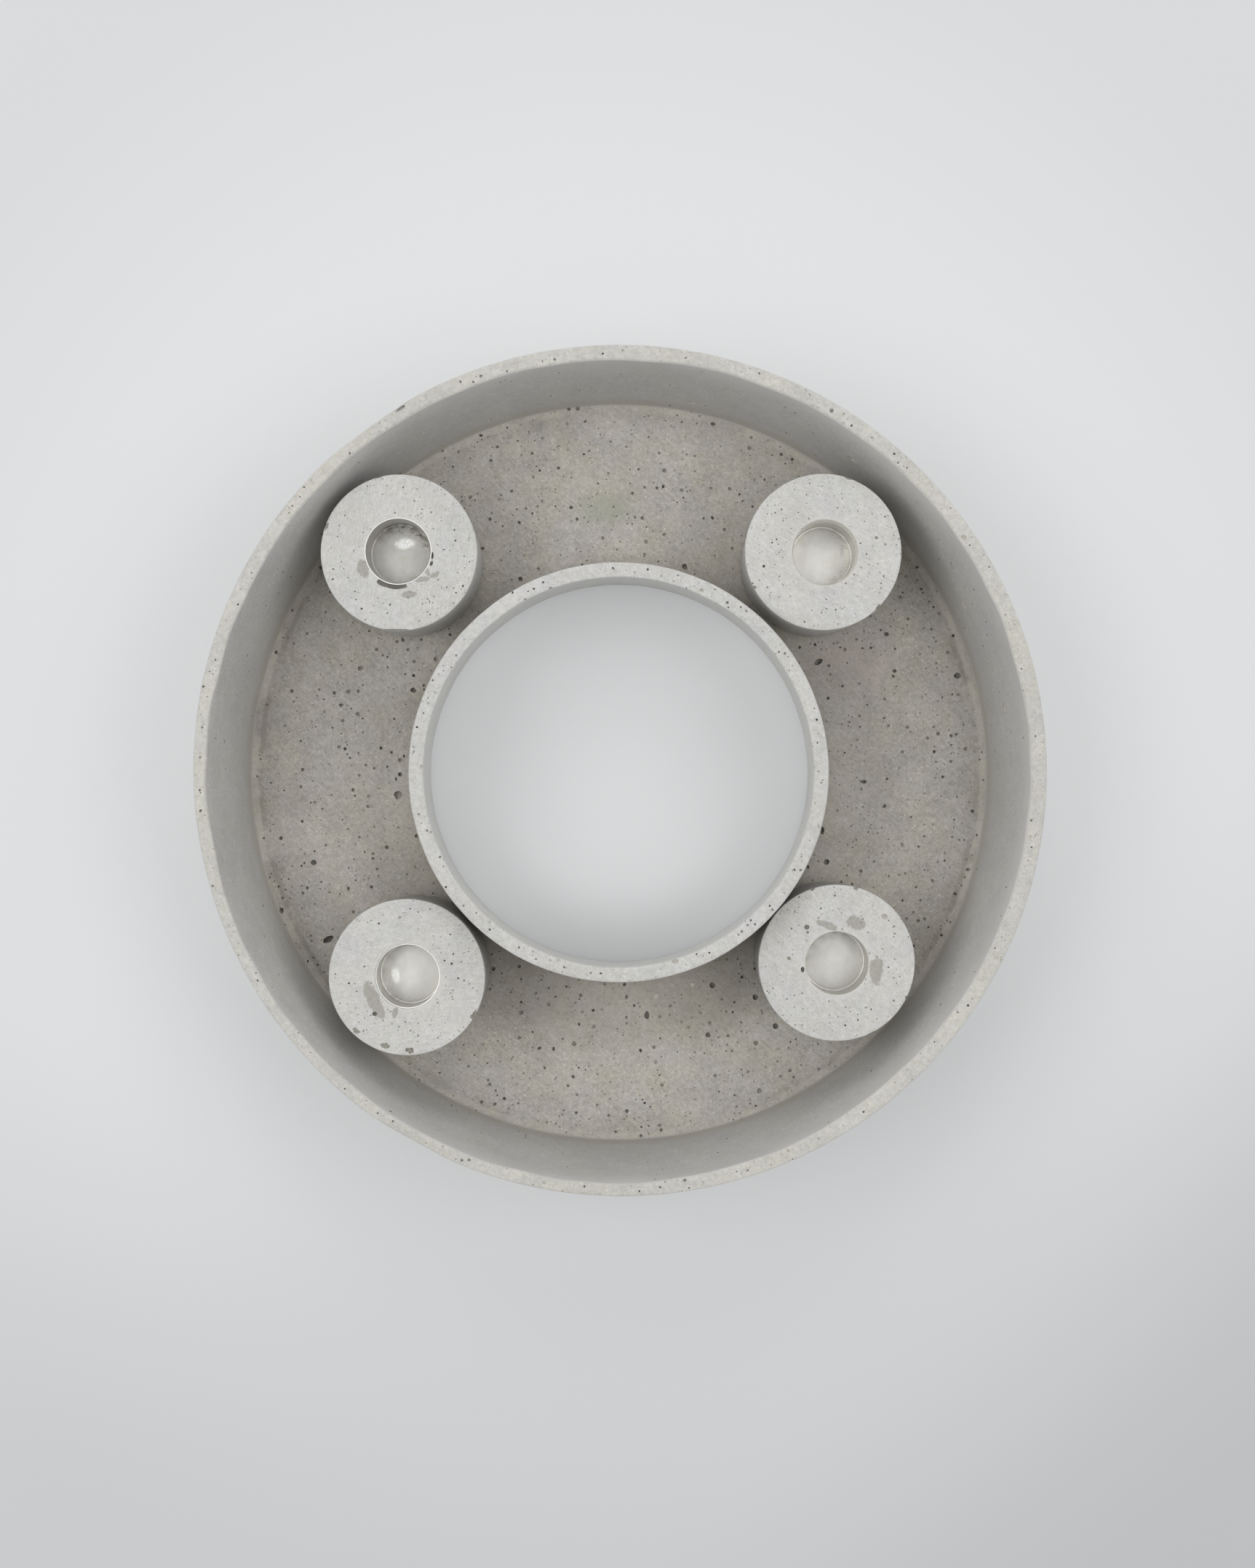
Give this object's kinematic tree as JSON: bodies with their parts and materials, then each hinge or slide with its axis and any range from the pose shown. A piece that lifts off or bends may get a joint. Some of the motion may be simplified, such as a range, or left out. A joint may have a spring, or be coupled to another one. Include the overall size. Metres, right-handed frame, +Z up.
{
  "type": "advent candle holder",
  "caption": "Cast concrete ring tray, open in the middle, whose trough holds loose round concrete blocks, each with a metal cup for a dinner candle.",
  "frame": {"origin": "on the table, under the middle of the ring's hole, level with the bottom of the tray's felt feet", "axes": "+Z up along the ring's axis; +X to the right and +Y to the top of the picture, which looks straight down"},
  "size_m": [0.3, 0.3, 0.06],
  "materials": {
    "concrete": "cast and sanded concrete, matt, with small air holes",
    "cup_metal": "thin pressed sheet, satin, with a fine bright lip",
    "felt": "pressed wool felt, self-adhesive"
  },
  "bodies": {
    "tray": {"ring_tray": "concrete", "tray_foot_back_left": "felt", "tray_foot_back_right": "felt", "tray_foot_front_left": "felt", "tray_foot_front_right": "felt"},
    "holder_back_left": {"candle_block_back_left": "concrete", "candle_cup_back_left": "cup_metal", "block_felt_back_left": "felt"},
    "holder_back_right": {"candle_block_back_right": "concrete", "candle_cup_back_right": "cup_metal", "block_felt_back_right": "felt"},
    "holder_front_left": {"candle_block_front_left": "concrete", "candle_cup_front_left": "cup_metal", "block_felt_front_left": "felt"},
    "holder_front_right": {"candle_block_front_right": "concrete", "candle_cup_front_right": "cup_metal", "block_felt_front_right": "felt"}
  },
  "joints": [
    {"name": "lift_back_left", "type": "slide", "parent": "tray", "child": "holder_back_left", "axis": [0, 0, 1], "range_m": [0, 0.08]},
    {"name": "lift_back_right", "type": "slide", "parent": "tray", "child": "holder_back_right", "axis": [0, 0, 1], "range_m": [0, 0.08]},
    {"name": "lift_front_left", "type": "slide", "parent": "tray", "child": "holder_front_left", "axis": [0, 0, 1], "range_m": [0, 0.08]},
    {"name": "lift_front_right", "type": "slide", "parent": "tray", "child": "holder_front_right", "axis": [0, 0, 1], "range_m": [0, 0.08]}
  ]
}
